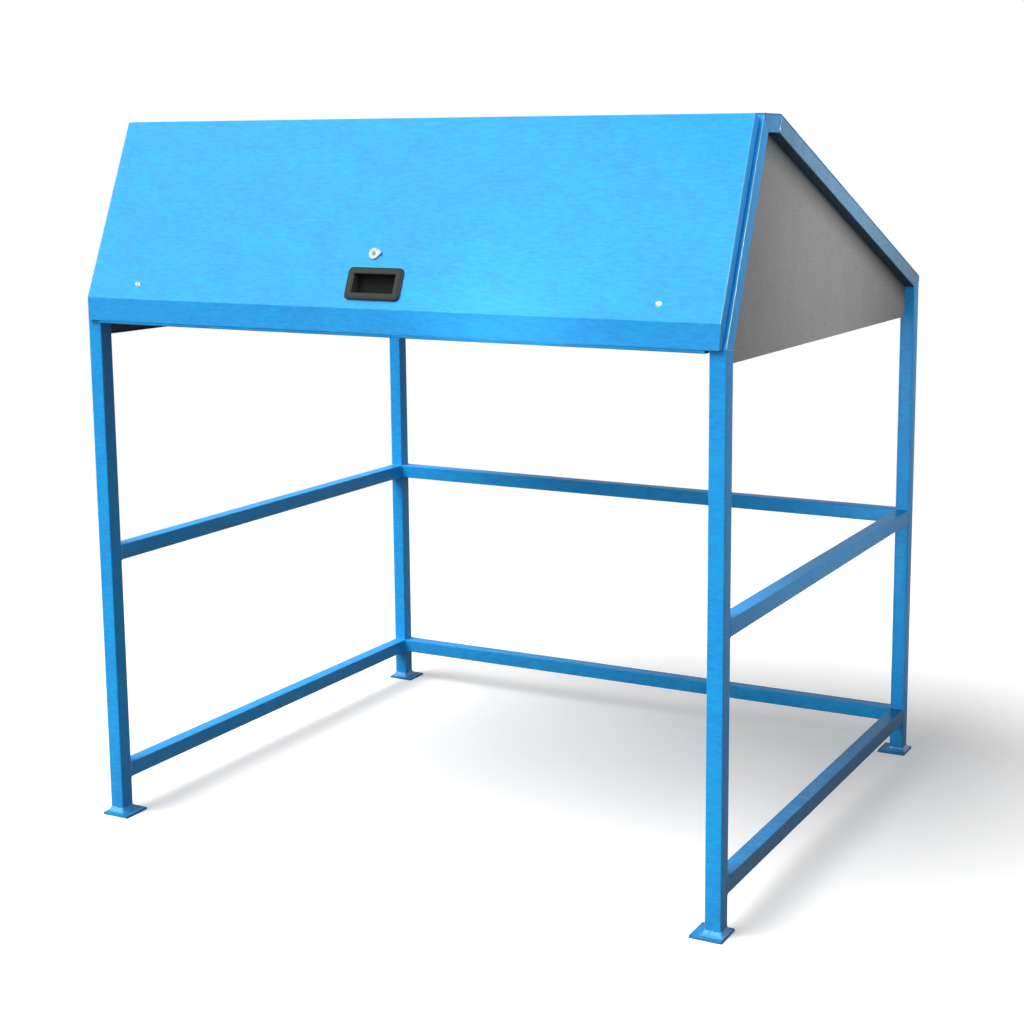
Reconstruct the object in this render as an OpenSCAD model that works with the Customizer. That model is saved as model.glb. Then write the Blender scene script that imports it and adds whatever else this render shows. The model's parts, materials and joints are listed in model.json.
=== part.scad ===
/* [Frame] */
// Width over the outer faces of the posts
frame_w = 1760; // [1500:10:2000]
// Depth over the outer faces of the posts
frame_d = 1430; // [1200:10:1700]
// Height at which a front post bends into the front rafter
front_h = 1325; // [1300:5:1400]
// Height at which a rear post bends into the rear rafter
rear_h = 1395; // [1380:5:1450]
// Height of the ridge
ridge_h = 1820; // [1780:5:1900]
// Distance of the front edge of the ridge behind the front posts
ridge_back = 205; // [190:1:220]
// Width of the flat ridge
ridge_w = 102; // [90:1:120]
// Side of the square tube
tube = 40; // [40:1:45]
// Wall of the square tube
tube_wall = 2; // [1.5:0.5:3]
// Outer corner radius of the square tube
tube_r = 3; // [2.5:0.5:4]
// Height of the top of the middle rails
mid_rail_h = 727; // [600:1:850]
// Height of the top of the bottom rails
low_rail_h = 133; // [100:1:200]

/* [Feet] */
// Side of a foot plate
foot_w = 80; // [70:1:100]
// Thickness of a foot plate
foot_t = 6; // [5:1:10]
// How far a foot plate stands out past the side of its post
foot_out = 10; // [5:1:15]

/* [Gable panels and roof] */
// Height of the lower edge of the gable panels
panel_low = 1283; // [1200:1:1300]
// Distance of the panel face behind the outer face of the tubes
panel_recess = 28; // [26:1:30]
// Thickness of the panels and of the roof sheet
sheet = 1.5; // [1.5:0.5:2]
// Depth of the edge folded down at the eaves
drip = 14; // [10:1:20]

/* [Hood] */
// Distance of the hood side behind the outer face of the frame
hood_inset = 9.5; // [8:0.5:11]
// Height of the hood face in front of the rafters
hood_rise = 30; // [28:0.5:32]
// Gap between the hood side and the frame behind it
hood_gap = 2; // [1.5:0.5:3]
// Length of the hood up the slope, from the bend of the posts
hood_top = 524; // [522:1:525]
// Distance of the lip face in front of the posts
lip_out = 10; // [9:0.5:12]
// Height of the lower edge of the lip
lip_low = 1322; // [1318:1:1326]
// Side of the stiffening tube behind the lip
lip_bar = 25; // [20:1:30]
// Height of the underside of the stiffening tube
lip_bar_low = 1314; // [1312:1:1316]

/* [Recessed grip] */
// Width of the grip frame
grip_w = 145; // [140:1:150]
// Height of the grip frame along the slope
grip_h = 76; // [74:1:80]
// Middle of the grip frame across the hood
grip_x = -15; // [-20:1:0]
// Middle of the grip frame up the slope
grip_s = 109; // [105:1:112]
// Width of the hand pocket
pocket_w = 115; // [110:1:118]
// Height of the mouth of the hand pocket
pocket_h = 46; // [44:1:50]
// Depth of the hand pocket behind the hood face
pocket_d = 25; // [20:1:26]

/* [Lock] */
// Place of the lock across the hood
lock_x = -30; // [-35:1:-20]
// Place of the lock up the slope
lock_s = 182; // [180:1:190]
// Diameter of the collar of the lock
collar_d = 28; // [26:1:30]
// Place of the rod guides to either side of the middle
guide_x = 718; // [700:1:730]
// Place of the rod guides up the slope
guide_s = 86; // [80:1:92]
// Diameter of the lock rods
rod_d = 8; // [6:1:8]
// Radius of the drive pins about the lock
pin_turn_r = 22; // [22:1:24]

/* [Struts] */
// Place of the lower strut pivot up the slope
strut_low_s = 210; // [205:1:215]
// Depth of the lower strut pivot behind the rafter fronts
strut_low_h = -30; // [-32:1:-26]
// Distance of the upper strut pivot below the hinge axis
strut_arm = 90; // [88:1:95]
// Height of the upper strut pivot in front of the rafters
strut_up_h = 10; // [8:1:12]
// Diameter of a strut tube
strut_d = 15; // [14:1:16]

/* [Hidden] */
$fn = 48;

blue = [0.33, 0.68, 0.94];
grey = [0.5, 0.5, 0.5];
steel = [0.75, 0.76, 0.77];
black = [0.12, 0.12, 0.12];
cream = [0.86, 0.82, 0.7];

half_w = frame_w / 2;
half_d = frame_d / 2;
inner_x = half_w - tube;
eps = 0.01;
over = 60;

// Outer outline of a gable frame, as [y, z], from the front foot round to the rear foot
outline = [
    [-half_d, foot_t], [-half_d, front_h], [-half_d + ridge_back, ridge_h],
    [-half_d + ridge_back + ridge_w, ridge_h], [half_d, rear_h], [half_d, foot_t]
];

function heading(i) = atan2(outline[i + 1][1] - outline[i][1], outline[i + 1][0] - outline[i][0]);
function inward(a) = [sin(a), -cos(a)];
// Corner i of the outline moved in by d
function corner(i, d) =
    i == 0 ? outline[0] + d * inward(heading(0)) :
    i == 5 ? outline[5] + d * inward(heading(4)) :
    let (n1 = inward(heading(i - 1)), n2 = inward(heading(i)))
    outline[i] + d * (n1 + n2) / (1 + n1 * n2);
function unit(v) = v / norm(v);

slope = heading(1);
rear_slope = heading(3);
rear_len = norm(outline[4] - outline[3]);

// Hinge line of the hood, as [y, z], just in front of the ridge beam
knuckle_r = 4.5;
hinge_pin_r = 2;
leaf_t = 1.5;
beam_y = -half_d + ridge_back - 2;
hinge_y = beam_y - knuckle_r - 0.1;
hinge_z = ridge_h - 5.5;
hinge_len = 2 * inner_x - 40;
knuckles = 21;
// The hinge line measured up the slope and out from the rafters
hinge_s = (hinge_y + half_d) * cos(slope) + (hinge_z - front_h) * sin(slope);
hinge_h = -(hinge_y + half_d) * sin(slope) + (hinge_z - front_h) * cos(slope);

running = 0.05;
hood_x = half_w - hood_inset;
under_hood = hood_rise - sheet;

// Children drawn as x across, y up the slope and z out of the rafter fronts
module on_slope() {
    translate([0, -half_d, front_h]) rotate([slope, 0, 0]) children();
}

// Children drawn as x across, y down the rear slope and z out of the roof
module on_roof() {
    translate([0, outline[3][0], outline[3][1]]) rotate([rear_slope, 0, 0]) children();
}

// A plate with its outline in y and z, from x = 0 to x = t
module side_plate(points, t) {
    rotate([90, 0, 90]) linear_extrude(t) polygon(points);
}

// Children drawn on the right, and mirrored to the left when side is -1
module at_side(side) {
    if (side > 0) children();
    else mirror([1, 0, 0]) children();
}

module round_square(w, r) {
    square([w, w - 2 * r], center = true);
    square([w - 2 * r, w], center = true);
    for (x = [-1, 1], y = [-1, 1])
        translate([x * (w / 2 - r), y * (w / 2 - r)]) circle(r, $fn = 32);
}

module tube_section(w, wall, r) {
    difference() {
        round_square(w, r);
        round_square(w - 2 * wall, max(r - wall, 0.8));
    }
}

// A tube along x, centred on the origin
module tube_x(w, wall, r, len) {
    rotate([90, 0, 90]) translate([0, 0, -len / 2]) linear_extrude(len) tube_section(w, wall, r);
}

// Piece i of the outline as a mitred tube, on the right side
module gable_tube(i) {
    p = outline[i];
    q = outline[i + 1];
    p_in = corner(i, tube);
    q_in = corner(i + 1, tube);
    mp = unit(p_in - p) * 8;
    mq = unit(q_in - q) * 8;
    translate([half_w - tube / 2, 0, 0]) intersection() {
        translate([0, p[0], p[1]]) rotate([heading(i), 0, 0])
            translate([0, -over, -tube / 2]) rotate([-90, 0, 0])
                linear_extrude(norm(q - p) + 2 * over) tube_section(tube, tube_wall, tube_r);
        translate([-tube, 0, 0]) side_plate([p - mp, q - mq, q_in + mq, p_in + mp], 2 * tube);
    }
}

module foot(side, end) {
    color(blue) at_side(side)
        translate([half_w + foot_out - foot_w, end * (half_d - tube / 2) - foot_w / 2, 0])
            cube([foot_w, foot_w, foot_t]);
}

module post(side, end) {
    color(blue) at_side(side) gable_tube(end < 0 ? 0 : 4);
}

module ridge_bar(side) { color(blue) at_side(side) gable_tube(2); }
module rear_rafter(side) { color(blue) at_side(side) gable_tube(3); }

// The front rafter has a hole in its inner wall for the tip of the lock rod
module front_rafter(side) {
    color(blue) difference() {
        at_side(side) gable_tube(1);
        on_rod_line(side) translate([guide_run(side), 0, 0]) rotate([0, 90, 0])
            cylinder(h = inner_x - guide_x + tube / 2, r = rod_d / 2 + 2);
    }
}

module side_rail(side, top) {
    color(blue) at_side(side) translate([half_w - tube / 2, 0, top - tube / 2]) rotate([0, 0, 90])
        tube_x(tube, tube_wall, tube_r, frame_d - 2 * tube);
}

module rear_rail(top) {
    color(blue) translate([0, half_d - tube / 2, top - tube / 2])
        tube_x(tube, tube_wall, tube_r, 2 * inner_x);
}

module ridge_beam() {
    color(blue) translate([0, beam_y + tube / 2, ridge_h - tube / 2])
        tube_x(tube, tube_wall, tube_r, 2 * inner_x);
}

module roof_beam(run) {
    color(blue) on_roof() translate([0, run, -tube / 2 - 2 * eps])
        tube_x(tube, tube_wall, tube_r, 2 * inner_x);
}

// A pan that fills the gable, with its edges folded in against the tubes
module gable_panel(side) {
    function pan(d, low) = concat(
        [[-half_d + d, low]], [for (i = [1:4]) corner(i, d)], [[half_d - d, low]]);
    depth = tube - panel_recess;
    color(grey) at_side(side) translate([inner_x, 0, 0]) difference() {
        side_plate(pan(tube, panel_low), depth);
        translate([-1, 0, 0])
            side_plate(pan(tube + sheet, panel_low + sheet), depth + 1 - sheet);
    }
}

// One sheet over the ridge and the rear slope, folded down at the eaves
module roof_sheet() {
    up = [0, sheet];
    a = [beam_y, ridge_h];
    b = outline[3];
    c = outline[4];
    b_out = corner(3, -sheet);
    c_out = corner(4, -sheet);
    e = [half_d, rear_h - drip];
    color(blue) translate([-half_w, 0, 0])
        side_plate([a, b, c, e, e + [sheet, 0], c_out, b_out, a + up], frame_w);
}

// Knuckles number first, first + 2 and so on of the hinge, each with its bore
module hinge_knuckles(first) {
    pitch = hinge_len / knuckles;
    for (k = [first:2:knuckles - 1])
        translate([-hinge_len / 2 + k * pitch + 0.3, hinge_y, hinge_z]) rotate([0, 90, 0])
            cylinder(h = pitch - 0.6, r = knuckle_r);
}

module hinge_bore() {
    translate([-hinge_len / 2 - 1, hinge_y, hinge_z]) rotate([0, 90, 0])
        cylinder(h = hinge_len + 2, r = hinge_pin_r + running);
}

// Cuts that clear the knuckles of the other leaf
module knuckle_gaps(first) {
    pitch = hinge_len / knuckles;
    for (k = [first:2:knuckles - 1])
        translate([-hinge_len / 2 + k * pitch - 0.3, hinge_y, hinge_z]) rotate([0, 90, 0])
            cylinder(h = pitch + 0.6, r = knuckle_r + 0.3);
}

module hinge_frame_leaf() {
    leaf_h = 24;
    color(steel) difference() {
        union() {
            hinge_knuckles(0);
            translate([-hinge_len / 2, beam_y - leaf_t, hinge_z - leaf_h])
                cube([hinge_len, leaf_t, leaf_h]);
        }
        hinge_bore();
        knuckle_gaps(1);
    }
}

module hinge_hood_leaf() {
    front = -half_d + hood_top * cos(slope) - hood_rise * sin(slope) + sheet;
    color(steel) difference() {
        union() {
            hinge_knuckles(1);
            translate([-hinge_len / 2, front + 2, hinge_top - leaf_t])
                cube([hinge_len, hinge_y - front - 2, leaf_t]);
        }
        hinge_bore();
        knuckle_gaps(0);
    }
}

module hinge_pin() {
    color(steel) translate([-hinge_len / 2 - 3, hinge_y, hinge_z]) rotate([0, 90, 0])
        cylinder(h = hinge_len + 6, r = hinge_pin_r);
}

// Height of the upper side of the hood leaf, which carries the top flange of the hood
hinge_top = hinge_z + knuckle_r - 0.2;
flange_back = 8.5;

// Point on the slope at s up it and h in front of the rafters, as [y, z]
function slope_point(s, h) = [
    -half_d + s * cos(slope) - h * sin(slope), front_h + s * sin(slope) + h * cos(slope)];
lip_y = -half_d - lip_out;
// Where a plane h in front of the rafters meets a plane at y
function fold_point(h, y) = slope_point((y + half_d + h * sin(slope)) / cos(slope), h);

// Outline of the folded sheet moved in by d: lip, slope and top flange
function hood_line(d) = [
    [lip_y + d, lip_low],
    fold_point(hood_rise - d, lip_y + d),
    slope_line_at(hood_rise - d, hinge_top + sheet - d),
    [hinge_y - flange_back, hinge_top + sheet - d]
];
// Where the slope plane h in front of the rafters reaches height z
function slope_line_at(h, z) = slope_point((z - front_h - h * cos(slope)) / sin(slope), h);

module hood_skin() {
    outer = hood_line(0);
    inner = hood_line(sheet);
    translate([-hood_x, 0, 0]) side_plate(
        [outer[0], outer[1], outer[2], outer[3], inner[3], inner[2], inner[1], inner[0]],
        2 * hood_x);
}

// The side of the hood follows the posts and rafters at a small gap
module hood_side() {
    side_plate([
        [lip_y + eps, lip_low],
        fold_point(hood_rise - eps, lip_y + eps),
        slope_point(hood_top - 1, hood_rise - eps),
        slope_point(hood_top - 1, hood_gap),
        corner(1, -hood_gap),
        [-half_d - hood_gap, lip_low]
    ], sheet);
}

module hood_panel() {
    color(blue) difference() {
        union() {
            hood_skin();
            translate([-hood_x, 0, 0]) hood_side();
            translate([hood_x - sheet, 0, 0]) hood_side();
        }
        on_slope() {
            translate([grip_x - pocket_w / 2 - grip_wall - 0.3, grip_s + mouth_low - grip_wall - 0.3, 0])
                cube([pocket_w + 2 * grip_wall + 0.6, pocket_h + undercut + 2 * grip_wall + 0.6, 2 * hood_rise]);
            translate([lock_x, lock_s, hood_rise - 10]) cylinder(h = 20, r = case_r + 0.2);
            for (side = [-1, 1]) translate([side * guide_x, guide_s, hood_rise - 10])
                cylinder(h = 20, r = screw_r + 0.2);
        }
    }
}

module lip_stiffener() {
    gap = 6;
    color(blue) translate([0, lip_y + sheet + lip_bar / 2, lip_bar_low + lip_bar / 2])
        tube_x(lip_bar, tube_wall, tube_r, 2 * (inner_x - gap));
}

grip_wall = 2;
grip_corner = 16;
undercut = 8;
// Lower edge of the pocket mouth, measured from the middle of the grip frame
mouth_low = 1 - pocket_h / 2;

// A plate with rounded corners and a bevel all round its upper side
module bevelled_plate(w, h, r, t, bevel) {
    module band(len, side) {
        rotate([90, 0, 90]) translate([0, 0, -len / 2]) linear_extrude(len)
            polygon([[-side / 2, 0], [side / 2, 0], [side / 2, t - bevel], [side / 2 - bevel, t],
                [bevel - side / 2, t], [-side / 2, t - bevel]]);
    }
    band(w - 2 * r, h);
    rotate([0, 0, 90]) band(h - 2 * r, w);
    for (x = [-1, 1], y = [-1, 1]) translate([x * (w / 2 - r), y * (h / 2 - r), 0]) {
        cylinder(h = t - bevel, r = r);
        translate([0, 0, t - bevel]) cylinder(h = bevel, r1 = r, r2 = r - bevel);
    }
}

// A moulded pocket with a frame round its mouth; it widens behind the upper bar
module recessed_grip() {
    skin = 3;
    color(black) on_slope() translate([grip_x, grip_s, 0]) difference() {
        union() {
            translate([0, 0, hood_rise]) bevelled_plate(grip_w, grip_h, grip_corner, 3, 1.4);
            translate([-pocket_w / 2 - grip_wall, mouth_low - grip_wall, hood_rise - pocket_d - grip_wall])
                cube([pocket_w + 2 * grip_wall, pocket_h + undercut + 2 * grip_wall, pocket_d + grip_wall + eps]);
        }
        translate([-pocket_w / 2, mouth_low, hood_rise - pocket_d])
            cube([pocket_w, pocket_h + undercut, pocket_d - skin]);
        translate([0, mouth_low + pocket_h / 2, hood_rise - pocket_d / 2])
            linear_extrude(pocket_d) rounded_rect(pocket_w, pocket_h, 2);
    }
}

module rounded_rect(w, h, r) {
    square([w, h - 2 * r], center = true);
    square([w - 2 * r, h], center = true);
    for (x = [-1, 1], y = [-1, 1])
        translate([x * (w / 2 - r), y * (h / 2 - r)]) circle(r, $fn = 32);
}

case_r = 9.5;
plug_r = 6;
case_back = -7;
collar_t = 4;
plate_t = 3;
rod_r = rod_d / 2;
screw_r = 4;
drive_pin_r = 3;
pin_side = 0.75;

// A threaded case with a collar; the rivet of the keyhole cover turns in the collar
module lock_case() {
    color(cream) difference() {
        on_slope() translate([lock_x, lock_s, 0]) {
            translate([0, 0, case_back]) cylinder(h = hood_rise - case_back, r = case_r);
            translate([0, 0, hood_rise]) cylinder(h = collar_t - 1.5, r = collar_d / 2);
            translate([0, 0, hood_rise + collar_t - 1.5])
                cylinder(h = 1.5, r1 = collar_d / 2, r2 = collar_d / 2 - 1.5);
        }
        on_slope() translate([lock_x, lock_s, 0]) {
            translate([0, 0, case_back - 1]) cylinder(h = 60, r = plug_r + running);
            translate([0, 0, hood_rise + collar_t - 1.5]) cylinder(h = 3, r = plug_r + 3);
        }
        cover_place() translate([0, 0, -3]) cylinder(h = 4, r = cover_rivet_r + running);
    }
}

module lock_nut() {
    nut_t = 6;
    color(steel) on_slope() translate([lock_x, lock_s, under_hood - nut_t]) difference() {
        cylinder(h = nut_t, r = 15, $fn = 6);
        translate([0, 0, -1]) cylinder(h = nut_t + 2, r = case_r + 0.05);
    }
}

// The plug turns in the case; its square end carries the drive plate
module lock_plug() {
    square_w = 7;
    face = hood_rise + collar_t - 2;
    color(steel) on_slope() translate([lock_x, lock_s, 0]) difference() {
        union() {
            translate([0, 0, case_back]) cylinder(h = face - case_back, r = plug_r);
            translate([0, 0, case_back - plate_t / 2]) cube([square_w, square_w, plate_t], center = true);
            translate([0, 0, case_back - plate_t - 5]) cylinder(h = 6, r = 2.5);
        }
        translate([0, -1, face]) cube([2, 7, 6], center = true);
    }
}

// Angles of the two rods on the slope, measured from +x, so that each rod runs
// through its guide and stays beside the lock at the mean height of its pin
rod_off = pin_turn_r * (1 + cos(45)) / 2;
function to_guide(side) = [side * guide_x - lock_x, guide_s - lock_s];
function rod_angle(side) = let (g = to_guide(side))
    atan2(g[1], g[0]) - asin(rod_off / norm(g));
function guide_run(side) = sqrt(pow(norm(to_guide(side)), 2) - pow(rod_off, 2));
rod_h = -15.5;
rod_throw = pin_turn_r * 2 * sin(45);
rest_run = -pin_turn_r * sin(45);
tip_gap = 2.6;

// Children drawn with x along the rod of one side, from beside the lock outwards
module on_rod_line(side) {
    on_slope() translate([lock_x, lock_s, rod_h]) rotate([0, 0, rod_angle(side)])
        translate([0, rod_off, 0]) children();
}

// A round plate with a pin for each rod, turned by the plug
module drive_plate() {
    top = case_back;
    color(steel) on_slope() translate([lock_x, lock_s, 0]) difference() {
        union() {
            translate([0, 0, top - plate_t]) cylinder(h = plate_t, r = pin_turn_r + 6);
            for (side = [-1, 1]) rotate([0, 0, rod_angle(side) + 135])
                translate([pin_turn_r, 0, 0]) {
                    translate([0, 0, rod_h - 2.4])
                        cylinder(h = top - plate_t - rod_h + 2.4 + eps, r = drive_pin_r);
                    translate([0, 0, rod_h - 3.6]) cylinder(h = 1.3, r = drive_pin_r + 1.5);
                }
        }
        translate([0, 0, top - plate_t / 2]) cube([7, 7, plate_t + 2], center = true);
    }
}

module drive_nut() {
    color(steel) on_slope() translate([lock_x, lock_s, case_back - plate_t - 4]) difference() {
        cylinder(h = 4, r = 4.6, $fn = 6);
        translate([0, 0, -1]) cylinder(h = 6, r = 2.5);
    }
}

// A round rod with a flat slotted eye; it slides through its guide into the rafter
module lock_rod(side) {
    slide = (pin_turn_r - pin_turn_r * cos(45)) / 2 + 0.1;
    slot_r = drive_pin_r + pin_side;
    eye_w = 2 * (slide + slot_r + 4);
    // Length to the tip, which stops short of the rafter at rest
    tip = guide_run(side) + (inner_x - tip_gap - guide_x) / abs(cos(rod_angle(side)));
    color(steel) on_rod_line(side) difference() {
        union() {
            translate([rest_run - 9, -eye_w / 2, -1.5]) cube([18, eye_w, 3]);
            translate([rest_run + 6, 0, 0]) rotate([0, 90, 0])
                cylinder(h = tip - rest_run - 6, r = rod_r);
        }
        translate([rest_run, 0, -3]) linear_extrude(6) {
            square([2 * slot_r, 2 * slide], center = true);
            for (y = [-1, 1]) translate([0, y * slide]) circle(slot_r);
        }
    }
}

// An angle bracket held by one screw, with a hole for the rod to slide in
module rod_guide(side) {
    w = 24;
    leg_at = 12;
    color(steel) on_rod_line(side) translate([guide_run(side), 0, 0]) difference() {
        union() {
            translate([-w / 2, -w / 2, under_hood - rod_h - 3])
                cube([w / 2 + leg_at + 3, w, 3]);
            translate([leg_at, -w / 2, -rod_r - 5])
                cube([3, w, under_hood - rod_h + rod_r + 5]);
        }
        translate([leg_at - 1, 0, 0]) rotate([0, 90, 0]) cylinder(h = 5, r = rod_r + running);
        translate([0, 0, under_hood - rod_h - 4]) cylinder(h = 5, r = screw_r + 0.1);
    }
}

// Domed screws that hold the rod guides to the hood
module guide_screws() {
    head_r = 7.5;
    head_t = 4.5;
    cap_r = (head_r * head_r + head_t * head_t) / (2 * head_t);
    color(steel) for (side = [-1, 1]) on_slope() translate([side * guide_x, guide_s, 0]) {
        translate([0, 0, under_hood - 12]) cylinder(h = 12 + sheet + eps, r = screw_r);
        translate([0, 0, hood_rise]) intersection() {
            translate([0, 0, head_t - cap_r]) sphere(cap_r, $fn = 64);
            cylinder(h = head_t + 1, r = head_r);
        }
    }
}

module guide_nuts() {
    color(steel) for (side = [-1, 1]) on_slope()
        translate([side * guide_x, guide_s, under_hood - 3 - 6.5]) difference() {
            cylinder(h = 6.5, r = 7.5, $fn = 6);
            translate([0, 0, -1]) cylinder(h = 9, r = screw_r);
        }
}

// A small disc that swings aside from the keyhole on its rivet; at rest it stands open
cover_r = 5.5;
cover_rivet_r = 1.2;
cover_pivot_r = 11;
cover_pivot_angle = 56;
cover_open_angle = 83.5;
module cover_place() {
    on_slope() translate([lock_x, lock_s, hood_rise + collar_t]) rotate([0, 0, cover_pivot_angle])
        translate([cover_pivot_r, 0, 0]) children();
}

module keyhole_cover() {
    t = 1.2;
    gap = 0.2;
    color(steel) cover_place() {
        translate([0, 0, -2.5]) cylinder(h = 2.5 + gap + eps, r = cover_rivet_r);
        translate([0, 0, gap]) cylinder(h = t, r = 2.4);
        translate([0, 0, gap + t - eps]) cylinder(h = 0.8, r = 1.8);
        rotate([0, 0, 180 + cover_open_angle]) translate([0, 0, gap]) {
            translate([0, -2, 0]) cube([cover_pivot_r - 2, 4, t]);
            translate([cover_pivot_r, 0, 0]) cylinder(h = t, r = cover_r);
        }
    }
}

strut_x = inner_x - 18;
eye_r = 8;
eye_w = 14;
stud_r = 4;
strut_low = [strut_low_s, strut_low_h];
strut_up = [hinge_s - sqrt(strut_arm * strut_arm - pow(strut_up_h - hinge_h, 2)), strut_up_h];
strut_len = norm(strut_up - strut_low);
strut_tilt = atan2(strut_up[1] - strut_low[1], strut_up[0] - strut_low[0]);
strut_rod_r = 3;
strut_tube_len = 172;

// Plate on the rafter with the stud for the lower end of the strut
module strut_anchor(side) {
    t = 3;
    color(blue) at_side(side) on_slope() difference() {
        union() {
            translate([inner_x - t, strut_low_s - 25, strut_low_h - 14])
                cube([t, 50, 40]);
            translate([strut_x - eye_w / 2 - 2, strut_low_s, strut_low_h]) rotate([0, 90, 0])
                cylinder(h = inner_x - t - strut_x + eye_w / 2 + 2 + eps, r = stud_r);
        }
        translate([strut_x - eye_w / 2 - 1.4, strut_low_s, strut_low_h]) rotate([0, 90, 0])
            difference() {
                cylinder(h = 0.8, r = stud_r + 1);
                translate([0, 0, -1]) cylinder(h = 3, r = stud_r - 0.6);
            }
    }
}

// Angle bracket on the inside of the hood with the stud for the upper end
module strut_bracket(side) {
    t = 3;
    x_leg = strut_x - eye_w / 2 - 15;
    color(blue) at_side(side) on_slope() {
        translate([x_leg - 22, strut_up[0] - 25, under_hood - t]) cube([22 + t, 50, t]);
        translate([x_leg, strut_up[0] - 14, strut_up_h - 10])
            cube([t, 28, under_hood - strut_up_h + 10]);
        translate([x_leg + t - eps, strut_up[0], strut_up_h]) rotate([0, 90, 0])
            cylinder(h = 11, r = stud_r);
    }
}

// Children drawn with y along the strut of one side, from its lower pivot
module on_strut(side) {
    at_side(side) on_slope() translate([strut_x, strut_low_s, strut_low_h])
        rotate([strut_tilt, 0, 0]) children();
}

module strut_eye() {
    translate([-eye_w / 2, 0, 0]) rotate([0, 90, 0]) cylinder(h = eye_w, r = eye_r);
}

module strut_rod(side) {
    piston_at = strut_len - 30;
    color(steel) on_strut(side) difference() {
        union() {
            strut_eye();
            translate([0, 4, 0]) rotate([-90, 0, 0]) cylinder(h = 14, r = 5);
            translate([0, 10, 0]) rotate([-90, 0, 0]) cylinder(h = piston_at - 10, r = strut_rod_r);
            translate([0, piston_at - 12, 0]) rotate([-90, 0, 0])
                cylinder(h = 12, r = strut_d / 2 - 1 - running);
        }
        translate([-eye_w, 0, 0]) rotate([0, 90, 0]) cylinder(h = 2 * eye_w, r = stud_r + running);
    }
}

module strut_tube(side) {
    base = strut_len - 14 - strut_tube_len;
    color(black) on_strut(side) difference() {
        union() {
            translate([0, strut_len, 0]) strut_eye();
            translate([0, strut_len - 18, 0]) rotate([-90, 0, 0]) cylinder(h = 14, r = 5);
            translate([0, base, 0]) rotate([-90, 0, 0]) cylinder(h = strut_tube_len, r = strut_d / 2);
        }
        translate([0, base + 14, 0]) rotate([-90, 0, 0])
            cylinder(h = strut_tube_len - 26, r = strut_d / 2 - 1);
        translate([0, base - 1, 0]) rotate([-90, 0, 0])
            cylinder(h = 30, r = strut_rod_r + running);
    }
}

// A rubber stop on the rafter that the closed hood rests on
module buffer(side) {
    color(black) at_side(side) on_slope()
        translate([hood_x - 14, 120, 0]) cylinder(h = under_hood - 0.3, r = 11);
}

foot(-1, -1);  // front_left_foot
foot(1, -1);  // front_right_foot
foot(-1, 1);  // rear_left_foot
foot(1, 1);  // rear_right_foot
post(-1, -1);  // front_left_post
post(1, -1);  // front_right_post
post(-1, 1);  // rear_left_post
post(1, 1);  // rear_right_post
front_rafter(-1);  // left_front_rafter
front_rafter(1);  // right_front_rafter
ridge_bar(-1);  // left_ridge_bar
ridge_bar(1);  // right_ridge_bar
rear_rafter(-1);  // left_rear_rafter
rear_rafter(1);  // right_rear_rafter
side_rail(-1, mid_rail_h);  // left_middle_rail
side_rail(1, mid_rail_h);  // right_middle_rail
side_rail(-1, low_rail_h);  // left_bottom_rail
side_rail(1, low_rail_h);  // right_bottom_rail
rear_rail(mid_rail_h);  // rear_middle_rail
rear_rail(low_rail_h);  // rear_bottom_rail
ridge_beam();
roof_beam(rear_len / 2);  // roof_purlin
roof_beam(rear_len - tube / 2);  // eaves_beam
gable_panel(-1);  // left_gable_panel
gable_panel(1);  // right_gable_panel
roof_sheet();
hinge_frame_leaf();
hinge_pin();
hinge_hood_leaf();
strut_anchor(-1);  // left_strut_anchor
strut_anchor(1);  // right_strut_anchor
buffer(-1);  // left_buffer
buffer(1);  // right_buffer
hood_panel();
lip_stiffener();
recessed_grip();
lock_case();
lock_nut();
rod_guide(-1);  // left_rod_guide
rod_guide(1);  // right_rod_guide
guide_screws();
guide_nuts();
strut_bracket(-1);  // left_strut_bracket
strut_bracket(1);  // right_strut_bracket
lock_plug();
drive_plate();
drive_nut();
lock_rod(-1);  // left_lock_rod
lock_rod(1);  // right_lock_rod
keyhole_cover();
strut_rod(-1);  // left_strut_rod
strut_rod(1);  // right_strut_rod
strut_tube(-1);  // left_strut_tube
strut_tube(1);  // right_strut_tube
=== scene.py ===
import json
import math

import bmesh
import bpy
from mathutils import Matrix, Vector
from mathutils.geometry import convex_hull_2d


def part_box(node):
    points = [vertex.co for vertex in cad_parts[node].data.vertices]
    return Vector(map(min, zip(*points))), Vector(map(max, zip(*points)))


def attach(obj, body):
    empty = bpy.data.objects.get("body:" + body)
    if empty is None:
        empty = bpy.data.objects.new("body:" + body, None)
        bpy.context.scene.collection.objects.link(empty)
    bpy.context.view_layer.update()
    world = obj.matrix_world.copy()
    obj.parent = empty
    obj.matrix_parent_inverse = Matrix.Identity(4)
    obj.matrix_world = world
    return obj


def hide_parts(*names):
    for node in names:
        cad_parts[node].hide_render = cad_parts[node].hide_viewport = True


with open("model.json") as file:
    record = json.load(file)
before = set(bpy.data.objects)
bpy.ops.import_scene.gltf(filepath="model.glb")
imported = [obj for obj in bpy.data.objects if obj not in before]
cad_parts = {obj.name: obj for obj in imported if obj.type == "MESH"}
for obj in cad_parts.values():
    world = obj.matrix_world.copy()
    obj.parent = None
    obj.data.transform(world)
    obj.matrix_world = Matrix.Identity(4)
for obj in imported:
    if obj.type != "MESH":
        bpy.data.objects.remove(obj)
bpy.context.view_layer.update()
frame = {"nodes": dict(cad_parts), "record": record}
nodes = frame["nodes"]

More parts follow.
